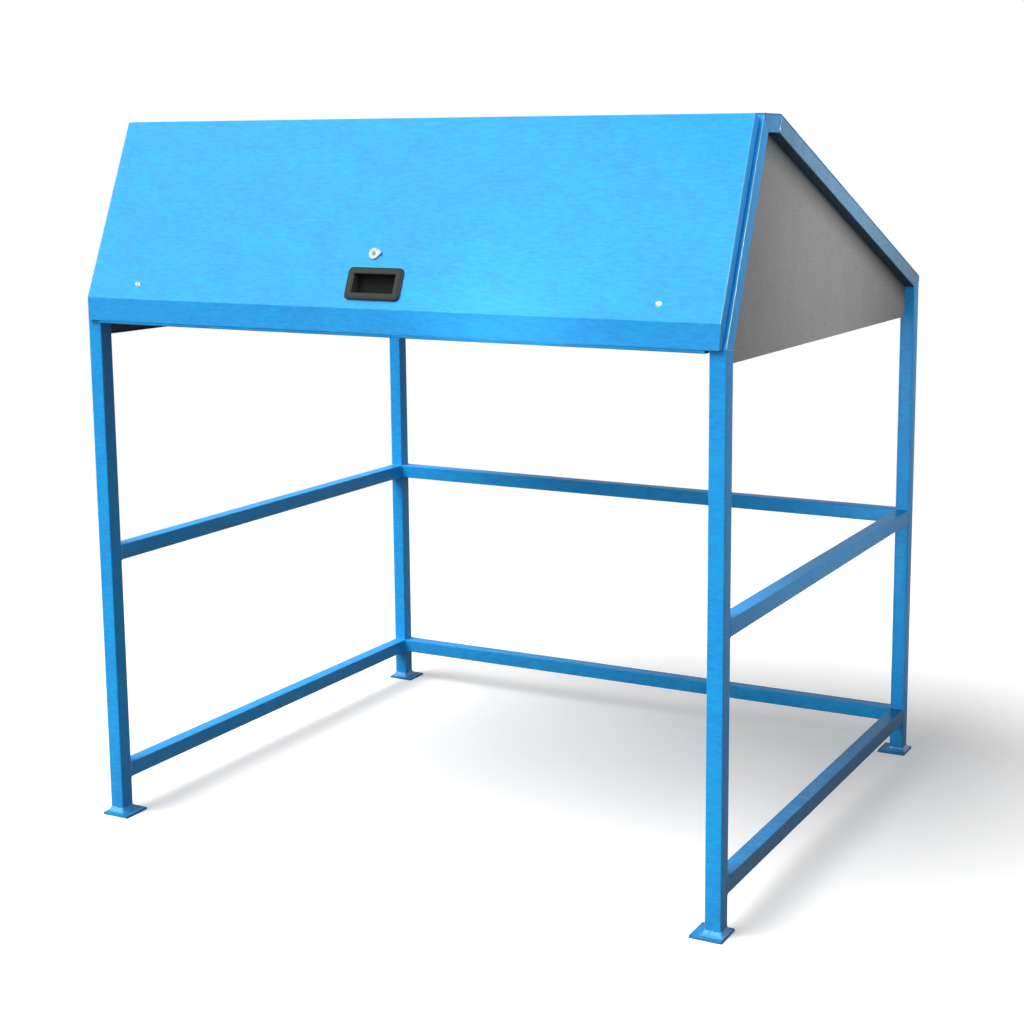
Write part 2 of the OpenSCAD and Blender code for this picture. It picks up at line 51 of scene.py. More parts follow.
# Sizes in metres, read from the frame where it holds them
POST_LOW, POST_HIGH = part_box("front_right_post")
REAR_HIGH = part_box("rear_right_post")[1]
RIDGE_LOW, RIDGE_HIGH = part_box("right_ridge_bar")
HOOD_LOW, HOOD_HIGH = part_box("hood_panel")
ROOF_LOW, ROOF_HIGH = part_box("roof_sheet")
TUBE = POST_HIGH.x - POST_LOW.x
HALF_W = POST_HIGH.x
FRONT_Y = POST_LOW.y
BEND_Z = POST_HIGH.z
RIDGE_FRONT_Y = RIDGE_LOW.y
RIDGE_REAR_Y = RIDGE_HIGH.y
RIDGE_Z = RIDGE_HIGH.z
REAR_Y = REAR_HIGH.y
EAVES_Z = REAR_HIGH.z
HOOD_HALF_W = HOOD_HIGH.x
HINGE_Y = sum(corner.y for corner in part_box("hinge_pin")) / 2
SHEET = 0.0015  # thickness of the hood and the roof
HOOD_RISE = 0.030  # from the rafters to the face of the hood
HOOD_GAP = 0.002  # from the rafters to the edge of the hood's side flanges
HOOD_TOP_S = 0.523  # up the rafters to the end of the side flanges
FLANGE_Y = HINGE_Y - 0.0085  # rear edge of the hood's top flange, clear of the hinge knuckles

SLOPE = math.atan2(RIDGE_Z - BEND_Z, RIDGE_FRONT_Y - FRONT_Y)
REAR_SLOPE = math.atan2(EAVES_Z - RIDGE_Z, REAR_Y - RIDGE_REAR_Y)

ACROSS = Vector((1, 0, 0))
ALONG = Vector((0, 1, 0))
UP = Vector((0, 0, 1))
UP_SLOPE = Vector((0, math.cos(SLOPE), math.sin(SLOPE)))
DOWN_ROOF = Vector((0, math.cos(REAR_SLOPE), math.sin(REAR_SLOPE)))
SLOPE_OUT = ACROSS.cross(UP_SLOPE)
ROOF_OUT = ACROSS.cross(DOWN_ROOF)


def on_slope(x, s, h):
    """A point x across, s up the front rafters and h in front of them."""
    return Vector((x, FRONT_Y + s * math.cos(SLOPE) - h * math.sin(SLOPE),
                   BEND_Z + s * math.sin(SLOPE) + h * math.cos(SLOPE)))


def on_roof(x, run, h):
    """A point x across, run down the rear rafters and h above them."""
    return Vector((x, RIDGE_REAR_Y + run * math.cos(REAR_SLOPE) - h * math.sin(REAR_SLOPE),
                   RIDGE_Z + run * math.sin(REAR_SLOPE) + h * math.cos(REAR_SLOPE)))


# Shader groups


def new_group(name, inputs, outputs):
    group = bpy.data.node_groups.new(name, "ShaderNodeTree")
    for label, kind, value in inputs:
        socket = group.interface.new_socket(label, in_out="INPUT", socket_type=kind)
        if value is not None:
            socket.default_value = value
    for label, kind in outputs:
        group.interface.new_socket(label, in_out="OUTPUT", socket_type=kind)
    start = group.nodes.new("NodeGroupInput")
    end = group.nodes.new("NodeGroupOutput")
    return group, start, end


def add(tree, kind, **settings):
    node = tree.nodes.new(kind)
    for key, value in settings.items():
        setattr(node, key, value)
    return node


def link(tree, source, target):
    tree.links.new(source, target)


def math_node(tree, operation, a, b=None, clamp=False):
    node = add(tree, "ShaderNodeMath", operation=operation, use_clamp=clamp)
    for socket, value in zip(node.inputs, (a, b)):
        if value is None:
            continue
        if isinstance(value, (int, float)):
            socket.default_value = value
        else:
            link(tree, value, socket)
    return node.outputs[0]


def plus(tree, a, b):
    return math_node(tree, "ADD", a, b)


def minus(tree, a, b, clamp=False):
    return math_node(tree, "SUBTRACT", a, b, clamp)


def times(tree, a, b):
    return math_node(tree, "MULTIPLY", a, b)


def component(tree, vector, axis):
    """The x, y or z value of a vector, as axis 0, 1 or 2."""
    parts = add(tree, "ShaderNodeSeparateXYZ")
    link(tree, vector, parts.inputs[0])
    return parts.outputs[axis]


def noise(tree, coords, scale, detail=3.0, roughness=0.5):
    node = add(tree, "ShaderNodeTexNoise")
    link(tree, coords, node.inputs["Vector"])
    node.inputs["Scale"].default_value = scale
    node.inputs["Detail"].default_value = detail
    node.inputs["Roughness"].default_value = roughness
    return node.outputs["Fac"]


def stretched(tree, coords, scale):
    node = add(tree, "ShaderNodeMapping")
    link(tree, coords, node.inputs["Vector"])
    node.inputs["Scale"].default_value = scale
    return node.outputs["Vector"]


def ramp(tree, value, low, high):
    node = add(tree, "ShaderNodeMapRange", clamp=True)
    link(tree, value, node.inputs["Value"])
    node.inputs["From Min"].default_value = low
    node.inputs["From Max"].default_value = high
    return node.outputs["Result"]


def mix_color(tree, factor, a, b):
    node = add(tree, "ShaderNodeMix", data_type="RGBA")
    for socket, value in ((node.inputs[0], factor), (node.inputs[6], a), (node.inputs[7], b)):
        if isinstance(value, (int, float, tuple)):
            socket.default_value = value
        else:
            link(tree, value, socket)
    return node.outputs[2]


DASHES = (42.0, 150.0, 170.0)  # marks per metre along x, y and z
CLOUDS = (10.0, 16.0, 16.0)
DASH_SHARE = 0.72


def make_streaks():
    """Mottling of a sprayed coat, drawn out level across the object."""
    group, start, end = new_group(
        "coat_streaks",
        [("Coordinates", "NodeSocketVector", None), ("Amount", "NodeSocketFloat", 0.5)],
        [("Mask", "NodeSocketFloat")])
    dashes = noise(group, stretched(group, start.outputs[0], DASHES), 1.0, 3.0, 0.65)
    clouds = noise(group, stretched(group, start.outputs[0], CLOUDS), 1.0, 4.0, 0.6)
    both = plus(group, times(group, ramp(group, dashes, 0.34, 0.66), DASH_SHARE),
                times(group, ramp(group, clouds, 0.34, 0.66), 1 - DASH_SHARE))
    link(group, times(group, minus(group, both, 0.5), start.outputs[1]), end.inputs[0])
    return group


def make_ground_dust():
    """Dust that thins out above the ground and lies in patches."""
    group, start, end = new_group(
        "ground_dust",
        [("Coordinates", "NodeSocketVector", None), ("Height", "NodeSocketFloat", 0.25)],
        [("Mask", "NodeSocketFloat")])
    level = math_node(group, "DIVIDE", component(group, start.outputs[0], 2), start.outputs[1])
    low = minus(group, 1.0, level, clamp=True)
    patches = ramp(group, noise(group, start.outputs[0], 18.0, 5.0, 0.65), 0.35, 0.7)
    link(group, times(group, math_node(group, "POWER", low, 2.0), patches), end.inputs[0])
    return group


STREAKS = make_streaks()
GROUND_DUST = make_ground_dust()


def new_material(name):
    material = bpy.data.materials.new(name)
    material.use_nodes = True
    tree = material.node_tree
    shader = tree.nodes["Principled BSDF"]
    coords = add(tree, "ShaderNodeTexCoord").outputs["Object"]
    return material, tree, shader, coords


def use_group(tree, group, coords, value):
    node = add(tree, "ShaderNodeGroup", node_tree=group)
    link(tree, coords, node.inputs[0])
    node.inputs[1].default_value = value
    return node.outputs[0]


def facing(tree, axis):
    """How far the surface of the piece looks along x, y or z, from -1 to 1."""
    return component(tree, add(tree, "ShaderNodeTexCoord").outputs["Normal"], axis)


def underside(tree):
    """1 where the surface looks down, 0 where it looks level or up."""
    return ramp(tree, facing(tree, 2), -0.5, -0.9)


def under_roof_edge(tree, coords, reach):
    """1 along the underside of the rear rafters, fading to 0 this far below them."""
    rise = times(tree, minus(tree, component(tree, coords, 2), RIDGE_Z), math.cos(REAR_SLOPE))
    run = times(tree, minus(tree, component(tree, coords, 1), RIDGE_REAR_Y), math.sin(REAR_SLOPE))
    level = ramp(tree, minus(tree, rise, run), -TUBE - reach, -TUBE)
    return math_node(tree, "POWER", level, 1.6)


def side_corner(tree):
    """1 half way round a corner that turns to the left or right side, 0 on the faces beside it."""
    sideways = math_node(tree, "POWER", math_node(tree, "ABSOLUTE", facing(tree, 0)), 2.0)
    return ramp(tree, times(tree, sideways, minus(tree, 1.0, sideways)), 0.02, 0.2)


def set_bump(tree, shader, height):
    """Bumps of this height in metres."""
    bump = add(tree, "ShaderNodeBump")
    bump.inputs["Strength"].default_value = 1.0
    bump.inputs["Distance"].default_value = 1.0
    link(tree, height, bump.inputs["Height"])
    link(tree, bump.outputs["Normal"], shader.inputs["Normal"])


def srgb(r, g, b):
    """A colour written as 0-255 values, turned into the linear values that nodes take."""
    def linear(c):
        c /= 255
        return c / 12.92 if c <= 0.04045 else ((c + 0.055) / 1.055) ** 2.4
    return (linear(r), linear(g), linear(b), 1.0)


def shade(color, factor):
    return tuple(min(1.0, c * factor) for c in color[:3]) + (1.0,)


DUST = srgb(44, 58, 70)
# painted shade for faces that look down
UNDERSIDE_SHADE_COLOR = srgb(26, 31, 36)
# painted shadow cast by the rear rafters on the gable panels
RAFTER_SHADOW_COLOR = srgb(40, 42, 46)
# painted highlight along corners that turn to the sides
CORNER_HIGHLIGHT_BLUE = srgb(146, 226, 255)
DUST_HEIGHT = 0.3  # above the ground
RAFTER_SHADOW_REACH = 0.07  # below the rear rafters, the reach of the painted shadow
PEEL_DEPTH = 0.00006
METAL_GRAIN_DEPTH = 0.00003
PLASTIC_GRAIN_DEPTH = 0.00005
SCUFFS = (20.0, 60.0, 60.0)  # marks along x, y and z


def coated_metal(name, color, wave=0.0, roughness=0.45, mottle=None, gloss=0.15, corner_highlight=0.0,
                 underside_shade=0.75, rafter_shadow=0.0, sheen=0.05, coat_roughness=0.12):
    """Sprayed coat: streaky mottling, orange peel, dust near the ground, dents on wide sheets;
    painted shade on faces that look down, a painted shadow under the rear rafters and painted
    highlights on side corners.
    """
    material, tree, shader, coords = new_material(name)
    streaks = use_group(tree, STREAKS, coords, 1.0)
    lighter = ramp(tree, streaks, -0.5, 0.5)
    coat = mix_color(tree, lighter, mottle or shade(color, 0.86), shade(color, 1.12))
    specks = ramp(tree, noise(tree, coords, 900.0, 1.0), 0.72, 0.78)
    coat = mix_color(tree, times(tree, specks, 0.25), coat, shade(color, 0.6))
    dust = use_group(tree, GROUND_DUST, coords, DUST_HEIGHT)
    coat = mix_color(tree, times(tree, dust, 0.45), coat, DUST)
    # painted shade darkens the faces that look down
    coat = mix_color(tree, times(tree, underside(tree), underside_shade), coat, UNDERSIDE_SHADE_COLOR)
    # painted shadow on the panel under the rear rafters
    if rafter_shadow > 0:
        shadow_band = under_roof_edge(tree, coords, RAFTER_SHADOW_REACH)
        coat = mix_color(tree, times(tree, shadow_band, rafter_shadow), coat, RAFTER_SHADOW_COLOR)
    # painted highlight along the corners that turn to the sides
    if corner_highlight > 0:
        coat = mix_color(tree, times(tree, side_corner(tree), corner_highlight), coat, CORNER_HIGHLIGHT_BLUE)
    link(tree, coat, shader.inputs["Base Color"])
    rough = plus(tree, times(tree, streaks, 0.12), plus(tree, times(tree, dust, 0.3), roughness))
    link(tree, rough, shader.inputs["Roughness"])
    shader.inputs["Coat Weight"].default_value = gloss
    shader.inputs["Coat Roughness"].default_value = coat_roughness
    shader.inputs["Specular IOR Level"].default_value = sheen
    height = times(tree, noise(tree, coords, 450.0, 2.0), PEEL_DEPTH)
    if wave > 0:
        dents = noise(tree, stretched(tree, coords, (1.0, 1.6, 1.6)), 4.0, 1.0)
        height = plus(tree, height, times(tree, dents, wave))
    set_bump(tree, shader, height)
    return material


def bare_metal(name, color, roughness, metallic=1.0):
    """Plated or turned metal with a fine grain and dull patches."""
    material, tree, shader, coords = new_material(name)
    grain = noise(tree, coords, 400.0, 2.0)
    patches = ramp(tree, noise(tree, coords, 60.0, 4.0, 0.6), 0.35, 0.7)
    tone = mix_color(tree, patches, shade(color, 0.85), shade(color, 1.05))
    link(tree, tone, shader.inputs["Base Color"])
    shader.inputs["Metallic"].default_value = metallic
    rough = plus(tree, times(tree, patches, 0.15), roughness)
    link(tree, rough, shader.inputs["Roughness"])
    set_bump(tree, shader, times(tree, grain, METAL_GRAIN_DEPTH))
    return material


def moulded(name, color, roughness):
    """Moulded plastic or rubber with a fine grain and a few scuffs."""
    material, tree, shader, coords = new_material(name)
    marks = noise(tree, stretched(tree, coords, SCUFFS), 3.0, 6.0, 0.7)
    scuffs = ramp(tree, marks, 0.58, 0.75)
    tone = mix_color(tree, times(tree, scuffs, 0.35), color, shade(color, 2.2))
    link(tree, tone, shader.inputs["Base Color"])
    rough = plus(tree, times(tree, scuffs, 0.15), roughness)
    link(tree, rough, shader.inputs["Roughness"])
    shader.inputs["Specular IOR Level"].default_value = 0.2
    grain = noise(tree, coords, 1500.0, 2.0)
    set_bump(tree, shader, times(tree, grain, PLASTIC_GRAIN_DEPTH))
    return material


BLUE = srgb(46, 178, 252)
BLUE_MOTTLE = srgb(52, 156, 244)
TUBE_BLUE = srgb(34, 176, 250)
TUBE_MOTTLE = srgb(40, 152, 240)
TUBE_GLOSS = {"gloss": 0.4, "sheen": 0.0, "coat_roughness": 0.3}
# the hood and the roof carry painted highlights on their side bends
SHEET_LOOK = {"wave": 0.0005, "mottle": BLUE_MOTTLE, "corner_highlight": 0.7}
MATERIALS = {
    "blue_paint": coated_metal("blue_coat", TUBE_BLUE, mottle=TUBE_MOTTLE, **TUBE_GLOSS),
    # the grey panels carry a painted shadow under the rear rafters
    "grey_panel": coated_metal("grey_coat", srgb(147, 147, 148), wave=0.0005, roughness=0.6,
                               gloss=0.0, rafter_shadow=0.85),
    "zinc_steel": bare_metal("zinc_plate", srgb(190, 192, 190), 0.38),
    "bright_steel": bare_metal("turned_steel", srgb(204, 206, 204), 0.36),
    "cast_zinc": bare_metal("cast_collar", srgb(204, 210, 200), 0.5, metallic=0.3),
    "black_rubber": moulded("buffer_rubber", srgb(34, 34, 34), 0.7),
    "black_plastic": moulded("grip_frame_plastic", srgb(41, 46, 38), 0.5),
    "black_paint": coated_metal("strut_coat", srgb(26, 26, 28), roughness=0.3),
}
HOOD_COAT = coated_metal("hood_coat", BLUE, underside_shade=0.1, **SHEET_LOOK)
ROOF_COAT = coated_metal("roof_coat", BLUE, gloss=0.02, sheen=0.0, **SHEET_LOOK)
INNER_COAT = coated_metal("inner_coat", srgb(46, 150, 214), mottle=srgb(44, 124, 188), gloss=0.02,
                          underside_shade=0.5, sheen=0.0)
FOOT_COAT = coated_metal("foot_coat", srgb(50, 150, 214), mottle=srgb(46, 124, 182), gloss=0.3,
                         sheen=0.0, coat_roughness=0.3)
WELD_COAT = coated_metal("weld_coat", BLUE, roughness=0.35, gloss=0.9, mottle=BLUE_MOTTLE)
# paler, greyer copy of the blue for the rear rafters: painted sheen
PALE_SHEEN_COAT = coated_metal("pale_sheen_coat", srgb(100, 158, 198), mottle=srgb(88, 120, 146))
# lighter copy of the blue for the ridge bars: painted light
LIGHTENED_RIDGE_COAT = coated_metal("lightened_ridge_coat", srgb(70, 164, 222), mottle=srgb(66, 130, 184))
# darker copy of the tube blue for the right bottom rail: painted shade
SHADED_RAIL_COAT = coated_metal("shaded_rail_coat", srgb(42, 148, 212), mottle=srgb(38, 118, 178), **TUBE_GLOSS)
# the front rafters carry stronger painted corner highlights
CORNER_HIGHLIGHT_COAT = coated_metal("corner_highlight_coat", BLUE, mottle=BLUE_MOTTLE, corner_highlight=0.85)
# darker plastic inside the grip's pocket: painted shade in the recess
POCKET_SHADE_PLASTIC = moulded("grip_pocket_shade_plastic", srgb(30, 30, 30), 0.9)

# Solids whose finish differs from that of their slot
OWN_FINISH = {
    "right_bottom_rail": SHADED_RAIL_COAT,
    "lock_plug": bare_metal("worn_plug", srgb(150, 154, 142), 0.5, metallic=0.5),
    "keyhole_cover": bare_metal("cover_plate", srgb(190, 194, 188), 0.55, metallic=0.5),
}
for side in ("left", "right"):
    OWN_FINISH[side + "_front_rafter"] = CORNER_HIGHLIGHT_COAT
    OWN_FINISH[side + "_rear_rafter"] = PALE_SHEEN_COAT
    OWN_FINISH[side + "_ridge_bar"] = LIGHTENED_RIDGE_COAT

SLOT_OF = {s["node"]: s["material_slot"] for s in frame["record"]["subparts"]}
for name, obj in nodes.items():
    obj.data.materials.clear()
    obj.data.materials.append(OWN_FINISH.get(name) or MATERIALS[SLOT_OF[name]])


# Mesh helpers


WIDE_FACE = 0.002  # square metres, above which a face is shaded flat
NEAR = 1e-6


def new_object(name, data):
    """A new object in the scene."""
    obj = bpy.data.objects.new(name, data)
    bpy.context.scene.collection.objects.link(obj)
    return obj


def finish_piece(name, bm, body, slot, materials=None, smooth_below=35):
    """Turns a bmesh into a piece that rides on a body and takes a slot's finish."""
    mesh = bpy.data.meshes.new(name)
    bm.to_mesh(mesh)
    bm.free()
    obj = new_object(name, mesh)
    for material in materials or [MATERIALS[slot]]:
        mesh.materials.append(material)
    mesh.set_sharp_from_angle(angle=math.radians(smooth_below))
    mesh.polygons.foreach_set("use_smooth", [p.area < WIDE_FACE for p in mesh.polygons])
    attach(obj, body)
    return obj


def give_thickness(obj, thickness, inner=0):
    """Gives a sheet its wall, with the finish this many slots further on inside."""
    wall = obj.modifiers.new("thickness", "SOLIDIFY")
    wall.thickness = thickness
    wall.offset = -1
    wall.use_even_offset = True
    wall.material_offset = inner


def round_edges(bm, edges, radius, segments=3):
    return bmesh.ops.bevel(bm, geom=edges, offset=radius, offset_type="OFFSET", segments=segments,
                           profile=0.5, material=-1, affect="EDGES")


def round_bends(bm, offset, least=5, most=180):
    """Rounds the bends of a folded sheet that turn by an angle between these, in degrees."""
    bends = [e for e in bm.edges if len(e.link_faces) == 2
             and math.radians(least) < e.calc_face_angle(0) < math.radians(most)]
    round_edges(bm, bends, offset, 5)


def face_out(bm, direction):
    """Turns a sheet's faces so that most of its area looks in a direction."""
    bmesh.ops.recalc_face_normals(bm, faces=bm.faces)
    if sum(f.normal.dot(direction) * f.calc_area() for f in bm.faces) < 0:
        bmesh.ops.reverse_faces(bm, faces=bm.faces)


def folded_strip(points, half_width):
    """A sheet with its folds along x, from side to side, through these points."""
    bm = bmesh.new()
    row = [bm.verts.new((-half_width, p.y, p.z)) for p in points]
    edges = [bm.edges.new(pair) for pair in zip(row, row[1:])]
    swept = bmesh.ops.extrude_edge_only(bm, edges=edges)["geom"]
    bmesh.ops.translate(bm, verts=[v for v in swept if isinstance(v, bmesh.types.BMVert)],
                        vec=(2 * half_width, 0, 0))
    return bm


def turned(profile, steps=32):
    """A solid of revolution round z; its (r, z) profile is closed or has its ends on the axis."""
    bm = bmesh.new()
    verts = [bm.verts.new((r, 0, z)) for r, z in profile]
    edges = [bm.edges.new(pair) for pair in zip(verts, verts[1:])]
    bmesh.ops.spin(bm, geom=verts + edges, cent=(0, 0, 0), axis=(0, 0, 1), angle=math.tau,
                   steps=steps, use_merge=True)
    bmesh.ops.remove_doubles(bm, verts=bm.verts, dist=NEAR)
    bmesh.ops.recalc_face_normals(bm, faces=bm.faces)
    return bm


def frame_of(origin, across, up):
    """The matrix that stands a shape drawn in x, y, z on a plane with these directions."""
    out = across.cross(up)
    turn = Matrix((across, up, out)).transposed().to_4x4()
    return Matrix.Translation(origin) @ turn


def copies(bm, stands):
    """The shape in bm repeated at each matrix, as one bmesh."""
    mesh = bpy.data.meshes.new("repeat")
    bm.to_mesh(mesh)
    bm.free()
    whole = bmesh.new()
    for stand in stands:
        before = len(whole.verts)
        whole.from_mesh(mesh)
        whole.verts.ensure_lookup_table()
        bmesh.ops.transform(whole, matrix=stand, verts=whole.verts[before:])
    bpy.data.meshes.remove(mesh)
    return whole


# Hood: one sheet folded at the lip, the top flange and both sides

FOLD_OFFSET = 0.0010  # for the shallow folds
BEND_OFFSET = 0.0026
SHARP_BEND = 40  # degrees


def on_height(h, z):
    """The point of the plane h in front of the rafters at height z."""
    return on_slope(0, (z - BEND_Z - h * math.cos(SLOPE)) / math.sin(SLOPE), h)


def on_depth(h, y):
    """The point of the plane h in front of the rafters at depth y."""
    return on_slope(0, (y - FRONT_Y + h * math.sin(SLOPE)) / math.cos(SLOPE), h)


def hood_sheet():
    lip_low = Vector((0, HOOD_LOW.y, HOOD_LOW.z))
    fold = on_depth(HOOD_RISE, HOOD_LOW.y)
    top = on_height(HOOD_RISE, HOOD_HIGH.z)
    flange = Vector((0, FLANGE_Y, HOOD_HIGH.z))
    bend_gap = HOOD_GAP * (1 - math.sin(SLOPE)) / math.cos(SLOPE)
    side_in = [on_slope(0, HOOD_TOP_S, HOOD_GAP),
               Vector((0, FRONT_Y - HOOD_GAP, BEND_Z + bend_gap)),
               Vector((0, FRONT_Y - HOOD_GAP, HOOD_LOW.z))]
    bm = folded_strip((lip_low, fold, top, flange), HOOD_HALF_W)
    for x in (-HOOD_HALF_W, HOOD_HALF_W):
        row = sorted((v for v in bm.verts if abs(v.co.x - x) < NEAR and v.co.y < FLANGE_Y - 0.001),
                     key=lambda v: v.co.z)
        bm.faces.new(row + [bm.verts.new((x, p.y, p.z)) for p in side_in])
    bmesh.ops.recalc_face_normals(bm, faces=bm.faces)
    round_bends(bm, FOLD_OFFSET, most=SHARP_BEND)
    round_bends(bm, BEND_OFFSET, least=SHARP_BEND)
    face_out(bm, SLOPE_OUT)
    return bm


def cut_window(bm, low, high):
    """Opens a window in the slope of the hood, between two corners given as (x, s)."""
    for x, s, normal in ((low[0], 0, ACROSS), (high[0], 0, ACROSS),
                         (0, low[1], UP_SLOPE), (0, high[1], UP_SLOPE)):
        faces = [f for f in bm.faces
                 if f.normal.dot(SLOPE_OUT) > 0.999 and f.calc_area() > WIDE_FACE]
        edges = {e for f in faces for e in f.edges}
        verts = {v for f in faces for v in f.verts}
        bmesh.ops.bisect_plane(bm, geom=faces + list(edges) + list(verts),
                               plane_co=on_slope(x, s, 0), plane_no=normal)

    def inside(face):
        middle = face.calc_center_median()
        s = (middle - on_slope(0, 0, 0)).dot(UP_SLOPE)
        return (low[0] < middle.x < high[0] and low[1] < s < high[1]
                and face.normal.dot(SLOPE_OUT) > 0.9)

    bmesh.ops.delete(bm, geom=[f for f in bm.faces if inside(f)], context="FACES")


GRIP_X, GRIP_S = -0.0133, 0.107
GRIP_W, GRIP_H = 0.1517, 0.0796
POCKET_W, POCKET_H, POCKET_D = 0.115, 0.0465, 0.021
POCKET_CORNER = 0.0018
UNDERCUT = 0.008
GRIP_WALL = 0.002

hood_bm = hood_sheet()
cut_window(hood_bm,
           (GRIP_X - POCKET_W / 2 - GRIP_WALL, GRIP_S - POCKET_H / 2 - GRIP_WALL),
           (GRIP_X + POCKET_W / 2 + GRIP_WALL, GRIP_S + POCKET_H / 2 + UNDERCUT + GRIP_WALL))
hood = finish_piece("hood_sheet", hood_bm, "hood", "blue_paint", [HOOD_COAT, INNER_COAT])
give_thickness(hood, SHEET, 1)
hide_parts("hood_panel")


# Grip: a raised, arched frame round a pocket that widens behind its upper bar

# From the foot of the frame to its opening: share of its width, corner radius and height
FRAME_ROWS = ((0, 0.0115, 0), (0, 0.0115, 0.0042), (0.03, 0.0113, 0.0050), (0.10, 0.0106, 0.0058),
              (0.28, 0.0088, 0.0067), (0.52, 0.0064, 0.0072), (0.78, 0.0040, 0.0074),
              (0.92, 0.0026, 0.0071), (0.98, 0.0020, 0.0065), (1, POCKET_CORNER, 0.0057))
# From the opening to the floor of the pocket: height and how far the top is widened
POCKET_ROWS = ((0.0015, 0), (0.0011, UNDERCUT), (-POCKET_D, UNDERCUT))


def rounded_loop(width, height, corner, z, steps=6):
    """The points of a level rectangle with rounded corners, in order."""
    points = []
    for quarter, (across, up) in enumerate(((1, 1), (-1, 1), (-1, -1), (1, -1))):
        for k in range(steps + 1):
            turn = (quarter + k / steps) * math.pi / 2
            points.append(Vector((across * (width / 2 - corner) + corner * math.cos(turn),
                                  up * (height / 2 - corner) + corner * math.sin(turn), z)))
    return points


def skin(bm, rows):
    """Joins closed loops of points by strips of faces; gives the last loop and the strips."""
    strips = []
    above = []
    for row in rows:
        below = [bm.verts.new(point) for point in row]
        if above:
            strips.append([bm.faces.new((a, b, d, c)) for a, b, c, d
                           in zip(above, above[1:] + above[:1], below, below[1:] + below[:1])])
        above = below
    return above, strips


def grip_shell():
    rows = []
    for share, corner, z in FRAME_ROWS:
        width = GRIP_W + share * (POCKET_W - GRIP_W)
        height = GRIP_H + share * (POCKET_H - GRIP_H)
        rows.append(rounded_loop(width, height, corner, z))
    for z, widen in POCKET_ROWS:
        row = rounded_loop(POCKET_W, POCKET_H, POCKET_CORNER, z)
        rows.append([point + Vector((0, widen if point.y > 0 else 0, 0)) for point in row])
    bm = bmesh.new()
    last, strips = skin(bm, rows)
    floor = bm.faces.new(last)
    # the walls and floor of the pocket take the darker plastic, as painted shade
    for face in sum(strips[-len(POCKET_ROWS):], [floor]):
        face.material_index = 1
    face_out(bm, UP)
    bm.transform(frame_of(on_slope(GRIP_X, GRIP_S, HOOD_RISE), ACROSS, UP_SLOPE))
    return bm


grip = finish_piece("grip_shell", grip_shell(), "hood", "black_plastic",
                    [MATERIALS["black_plastic"], POCKET_SHADE_PLASTIC], smooth_below=50)
give_thickness(grip, GRIP_WALL)
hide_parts("recessed_grip")


# Feet: plates with worn edges

PLATE_CORNER = 0.0015
PLATE_EDGE = 0.0011


def worn_plate(node):
    low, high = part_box(node)
    bm = bmesh.new()
    made = bmesh.ops.create_cube(bm, size=1)["verts"]
    bmesh.ops.scale(bm, verts=made, vec=high - low)
    bmesh.ops.translate(bm, verts=made, vec=(low + high) / 2)
    upright = [e for e in bm.edges if abs(e.verts[0].co.z - e.verts[1].co.z) > 0.001]
    round_edges(bm, upright, PLATE_CORNER)
    top = [e for e in bm.edges if min(v.co.z for v in e.verts) > high.z - NEAR]
    round_edges(bm, top, PLATE_EDGE)
    return bm


for end in ("front_left", "front_right", "rear_left", "rear_right"):
    plate = finish_piece(end + "_foot_plate", worn_plate(end + "_foot"), "frame", "blue_paint",
                         [FOOT_COAT])
    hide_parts(end + "_foot")


# Welds: fillets at the feet and beads round the other ends of the tubes, with a slight ripple

POSTS = ("front_left_post", "front_right_post", "rear_left_post", "rear_right_post")
BEAD = 0.0014  # radius
SEAM = 0.0009  # radius
BEAM_INSET = 0.0006
BEAD_RIPPLE = 0.16
FILLET_RIPPLE = 0.10
FILLET_PITCH = 0.0035
WELD_SMOOTH = 80  # degrees
# Across a fillet, from inside the post round to below the plate: distance out and height
FILLET_ROWS = ((-0.0012, -0.002), (-0.0012, 0.0120), (0.0004, 0.0115), (0.0016, 0.0080),
               (0.0036, 0.0048), (0.0064, 0.0024), (0.0084, 0.0011), (0.0090, 0.0001),
               (0.0090, -0.002))


def ripple(k, amount):
    """The uneven size of a weld at its k-th point."""
    return 1 + amount * (math.sin(k * 2.1) + 0.5 * math.sin(k * 0.37 + 1))


def seam_loop(node, point, normal, grow=0.0):
    """The outline of a tube where it meets a plane, as points in order."""
    normal = normal.normalized()
    right = normal.orthogonal().normalized()
    up = normal.cross(right)
    flat = [((v.co - point).dot(right), (v.co - point).dot(up)) for v in nodes[node].data.vertices
            if abs((v.co - point).dot(normal)) < 3e-5]
    ring = [Vector(flat[i]) for i in convex_hull_2d(flat)]
    middle = sum(ring, Vector((0, 0))) / len(ring)
    ring = [p + (p - middle).normalized() * grow for p in ring]
    return [point + right * p.x + up * p.y for p in ring]


def stepped(loop, pitch):
    """The points of a closed loop with more set in between, about this far apart."""
    points = []
    for a, b in zip(loop, loop[1:] + loop[:1]):
        count = max(1, round((b - a).length / pitch))
        points += [a.lerp(b, k / count) for k in range(count)]
    return points


def foot_fillet(bm, post):
    """A hollow run of weld from the foot of a post out to near the edge of its plate."""
    ring = stepped(seam_loop(post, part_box(post)[0], UP), FILLET_PITCH)
    middle = sum(ring, Vector()) / len(ring)
    runs = []
    for grow, rise in FILLET_ROWS:
        verts = []
        for k, point in enumerate(ring):
            height = rise * ripple(k, FILLET_RIPPLE) if rise > 0 else rise
            verts.append(bm.verts.new(point + (point - middle) / (TUBE / 2) * grow + UP * height))
        runs.append([bm.edges.new(pair) for pair in zip(verts, verts[1:] + verts[:1])])
    for low, high in zip(runs, runs[1:] + runs[:1]):
        bmesh.ops.bridge_loops(bm, edges=low + high)


def foot_fillets():
    bm = bmesh.new()
    for post in POSTS:
        foot_fillet(bm, post)
    bmesh.ops.recalc_face_normals(bm, faces=bm.faces)
    return bm


